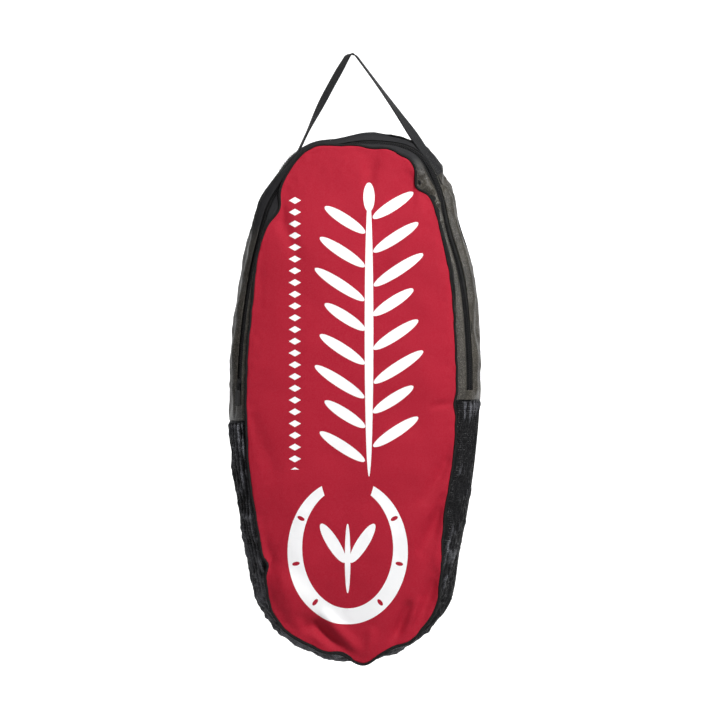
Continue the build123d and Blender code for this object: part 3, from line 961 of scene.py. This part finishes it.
def teeth(name, side, offset):
    bm = bmesh.new()
    first, last = 0.010, HALF_ROUND - 0.010
    count = int((last - first) / TOOTH_PITCH)
    for i in range(count):
        share = (first + TOOTH_PITCH * (i + offset)) / ROUND
        place = surface_frame(share, ZIP_TURN, -0.0015)
        place = place @ Matrix.Translation((side * 0.0013, 0, 0))
        size = Matrix.Diagonal((TOOTH_REACH, TOOTH_PITCH * 0.46, 0.0023, 1))
        bmesh.ops.create_cube(bm, size=1.0, matrix=place @ size)
    bmesh.ops.bevel(bm, geom=bm.edges[:], offset=0.0003, segments=1, profile=0.5,
                    affect="EDGES", material=-1)
    obj = finish_mesh(bm, name, smooth=False)
    dress(obj, "zip_plastic")
    return obj


for name, side, offset in (("front", -1, 0.0), ("rear", 1, 0.5)):
    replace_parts(teeth(f"zip_{name}_teeth", side, offset), f"zip_teeth_{name}")

# %% [markdown]
# ## The handle
# One length of 20 mm webbing. Each end is sewn flat onto the gusset, and the loop
# between them twists as it rises to the hook, so it shows its face in some places and its
# edge in others. Rows of points across the webbing are laid along its line and joined.

# %% The webbing's line
WEBBING, WEBBING_THICKNESS = 0.020, 0.0020
APEX = Vector((-0.002, 0.0, 0.0030))


def sewn_row(side, distance):
    """Middle, across and out directions of the webbing where it is sewn on. distance
    runs from the sewn end's top."""
    share = 0.25 - side * (TAB_FROM * END_RADIUS + distance) / ROUND
    turn = TAB_TURN[side]

    def surface(t):
        return gusset_point(share, t, cloth_lift(share, t, REAR_EDGE, BACK_TURN))

    across = (surface(turn + 0.09) - surface(turn - 0.09)).normalized()
    here = (surface(turn) + surface(turn + 0.06) + surface(turn - 0.06)) / 3
    along = (gusset_point(share - side * 0.001, turn) - gusset_point(share, turn)).normalized()
    out = across.cross(along).normalized()
    if out.dot(from_axis(here)) < 0:
        out = -out
    return here + out * 0.0022, across, out


def leg_rows(side, steps):
    """Rows from the sewn part's top up to the hook."""
    start, across, _ = sewn_row(side, 0.0)
    end = APEX + Vector((side * 0.0055, 0, -0.0030))
    along = (end - start).normalized()
    level = Vector((0, 1, 0))
    flat = along.cross(level).normalized() * side
    rows = []
    for i in range(1, steps + 1):
        t = i / steps
        middle = start.lerp(end, t)
        middle += flat * side * 0.0022 * sin(pi * t) * (1 if side < 0 else -0.6)
        settle = smooth_step(0.0, 0.30, t)
        lean = (0.20 + 0.38 * smooth_step(0.15, 0.55, t) * (1 - 0.4 * smooth_step(0.8, 1.0, t))
                if side < 0 else 0.19 + 0.90 * (1 - t) ** 2.4)
        twist = level * cos(lean) - flat * sin(lean)
        rows.append((middle, (across * (1 - settle) + twist * settle).normalized()))
    return rows


rows = []
for i in range(21):
    middle, across, _ = sewn_row(-1, SEWN * (1 - i / 20))
    rows.append((middle, across))
rows += leg_rows(-1, 60)
rows.append((APEX, Vector((0, 1, 0))))
rows += leg_rows(1, 60)[::-1]
for i in range(21):
    middle, across, _ = sewn_row(1, SEWN * i / 20)
    rows.append((middle, across))
for _ in range(2):
    calm = [rows[0]]
    for before, here, after in zip(rows, rows[1:], rows[2:]):
        calm.append(((before[0] + 2 * here[0] + after[0]) / 4,
                     (before[1] + 2 * here[1] + after[1]).normalized()))
    rows = calm + [rows[-1]]
length = sum((b[0] - a[0]).length for a, b in zip(rows, rows[1:]))
print("webbing:", len(rows), "rows,", round(length, 3), "m")


# %% The webbing
def webbing_place(u, v):
    spot = u * (len(rows) - 1)
    i = min(int(spot), len(rows) - 2)
    t = spot - i
    middle = rows[i][0].lerp(rows[i + 1][0], t)
    across = rows[i][1].lerp(rows[i + 1][1], t).normalized()
    return middle + across * WEBBING * (v - 0.5)


bm = grid_sheet("handle_webbing", 2 * (len(rows) - 1), 8, webbing_place)
bm.normal_update()
bmesh.ops.solidify(bm, geom=bm.faces[:], thickness=WEBBING_THICKNESS)
bmesh.ops.recalc_face_normals(bm, faces=bm.faces)
strap = finish_mesh(bm, "handle_webbing")
strap.data.materials.append(CLOTHS["webbing"])
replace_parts(strap, "handle_loop", "handle_tab_left", "handle_tab_right")
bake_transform(strap)

# %% [markdown]
# ## Stitching
# Each sewn end is held by a square of thread with a cross in it. One stitch is a tiny
# lozenge, laid end to end along the lines.

# %% Stitches
STITCH, STITCH_GAP = 0.0028, 0.0008
BOX_HALF, BOX_TOP, BOX_LOW = 0.0070, 0.004, 0.036


def lay_stitches(bm, side, start, end):
    """Stitches between two places on a sewn end, each (across, distance from its top)."""
    run = hypot(end[0] - start[0], end[1] - start[1])
    count = max(1, int(run / (STITCH + STITCH_GAP)))
    for i in range(count):
        ends = []
        for t in ((i + 0.12) / count, (i + 0.88) / count):
            offset = start[0] + (end[0] - start[0]) * t
            middle, across, out = sewn_row(side, start[1] + (end[1] - start[1]) * t)
            ends.append(middle + across * offset + out * (WEBBING_THICKNESS * 0.5 + 0.0007))
        along = (ends[1] - ends[0]).normalized()
        turn = along.to_track_quat("X", "Z").to_matrix().to_4x4()
        size = Matrix.Diagonal(((ends[1] - ends[0]).length / 2, 0.00038, 0.00038, 1))
        bmesh.ops.create_uvsphere(bm, u_segments=6, v_segments=5, radius=1.0,
                                  matrix=Matrix.Translation((ends[0] + ends[1]) / 2) @ turn @ size)


for side, name in ((-1, "left"), (1, "right")):
    bm = bmesh.new()
    corners = [(-BOX_HALF, BOX_TOP), (BOX_HALF, BOX_TOP), (BOX_HALF, BOX_LOW),
               (-BOX_HALF, BOX_LOW)]
    for a, b in zip(corners, corners[1:] + corners[:1]):
        lay_stitches(bm, side, a, b)
    lay_stitches(bm, side, corners[0], corners[2])
    lay_stitches(bm, side, corners[1], corners[3])
    stitches = finish_mesh(bm, f"handle_stitches_{name}")
    dress(stitches, "thread")
    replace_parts(stitches, f"handle_stitching_{name}")

# %% [markdown]
# ## Hard parts from the CAD model
# The slider, its puller and the stops are the right shape already, so they keep their
# own meshes and get a worn enamel or a moulded plastic.

# %% Hard parts
for node, cloth in (("slider_body", "slider_metal"), ("puller_link", "slider_metal"),
                    ("puller_grip", "grip_plastic"), ("zip_stops", "zip_plastic")):
    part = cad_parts[node]
    for material_slot in part.material_slots:
        material_slot.material = CLOTHS[cloth]
    print(node, "keeps its mesh")

# %% [markdown]
# ## Floor, light and camera
# The bag hangs over a pale floor that sweeps up behind it, lit by a broad light from
# above on the right and a weaker one from the left. The camera looks straight at the
# front from far off, so the outline hardly narrows with depth.


# %% Floor and backdrop
def sweep_place(u, v):
    run = v * 9.0
    flat, bend = 5.0, 1.6
    y = -3.2 + min(run, flat)
    z = -1.45
    if run > flat:
        turn = min((run - flat) / bend, pi / 2)
        y += bend * sin(turn)
        z += bend * (1 - cos(turn)) + max(0.0, run - flat - bend * pi / 2)
    return Vector((-6 + 12 * u, y, z))


floor = finish_mesh(grid_sheet("floor", 2, 60, sweep_place), "floor", 0.0,
                    lambda c: Vector((0, -1, 1)))
tree = Tree("floor_paint")
speck = tree.noise(0.02, 2.0)
axes = tree.add("ShaderNodeSeparateXYZ")
tree.join(tree.place, axes.inputs[0])
glow = tree.span(axes.outputs["Y"], 0.9, 1.6, 0.0, 0.96)
tree.join(glow, tree.shader.inputs["Emission Strength"])
floor.data.materials.append(tree.close(tree.mix(speck, (0.60, 0.60, 0.60), (0.64, 0.64, 0.64)),
                                       tree.bump(speck, 0.0002, 0.2), 0.9,
                                       Emission_Color=(1, 1, 1, 1)))


# %% Lights
def area_light(name, place, target, size, power):
    data = bpy.data.lights.new(name, "AREA")
    data.shape = "SQUARE"
    data.size, data.energy = size, power
    obj = bpy.data.objects.new(name, data)
    bpy.context.collection.objects.link(obj)
    obj.location = place
    obj.rotation_euler = (Vector(target) - Vector(place)).to_track_quat("-Z", "Y").to_euler()
    return obj


area_light("key", (1.15, -1.9, 1.5), (0, 0, -0.5), 0.5, 126)
area_light("fill", (-1.2, -3.2, 0.0), (0, 0, -0.5), 2.0, 5)
world = bpy.data.worlds.new("studio")
bpy.context.scene.world = world
world.use_nodes = True
world.node_tree.nodes["Background"].inputs["Color"].default_value = (1, 1, 1, 1)
world.node_tree.nodes["Background"].inputs["Strength"].default_value = 0.10

# %% Camera
VIEW_WIDTH, LENS, SENSOR = 1.08, 85.0, 36.0
camera_data = bpy.data.cameras.new("camera")
camera_data.lens, camera_data.sensor_width = LENS, SENSOR
camera = bpy.data.objects.new("camera", camera_data)
bpy.context.collection.objects.link(camera)
camera.location = (0.0105, FRONT_Y - VIEW_WIDTH * LENS / SENSOR, -0.468)
camera.rotation_euler = (pi / 2, 0, 0)
bpy.context.scene.camera = camera
bpy.context.scene.view_settings.view_transform = "Standard"
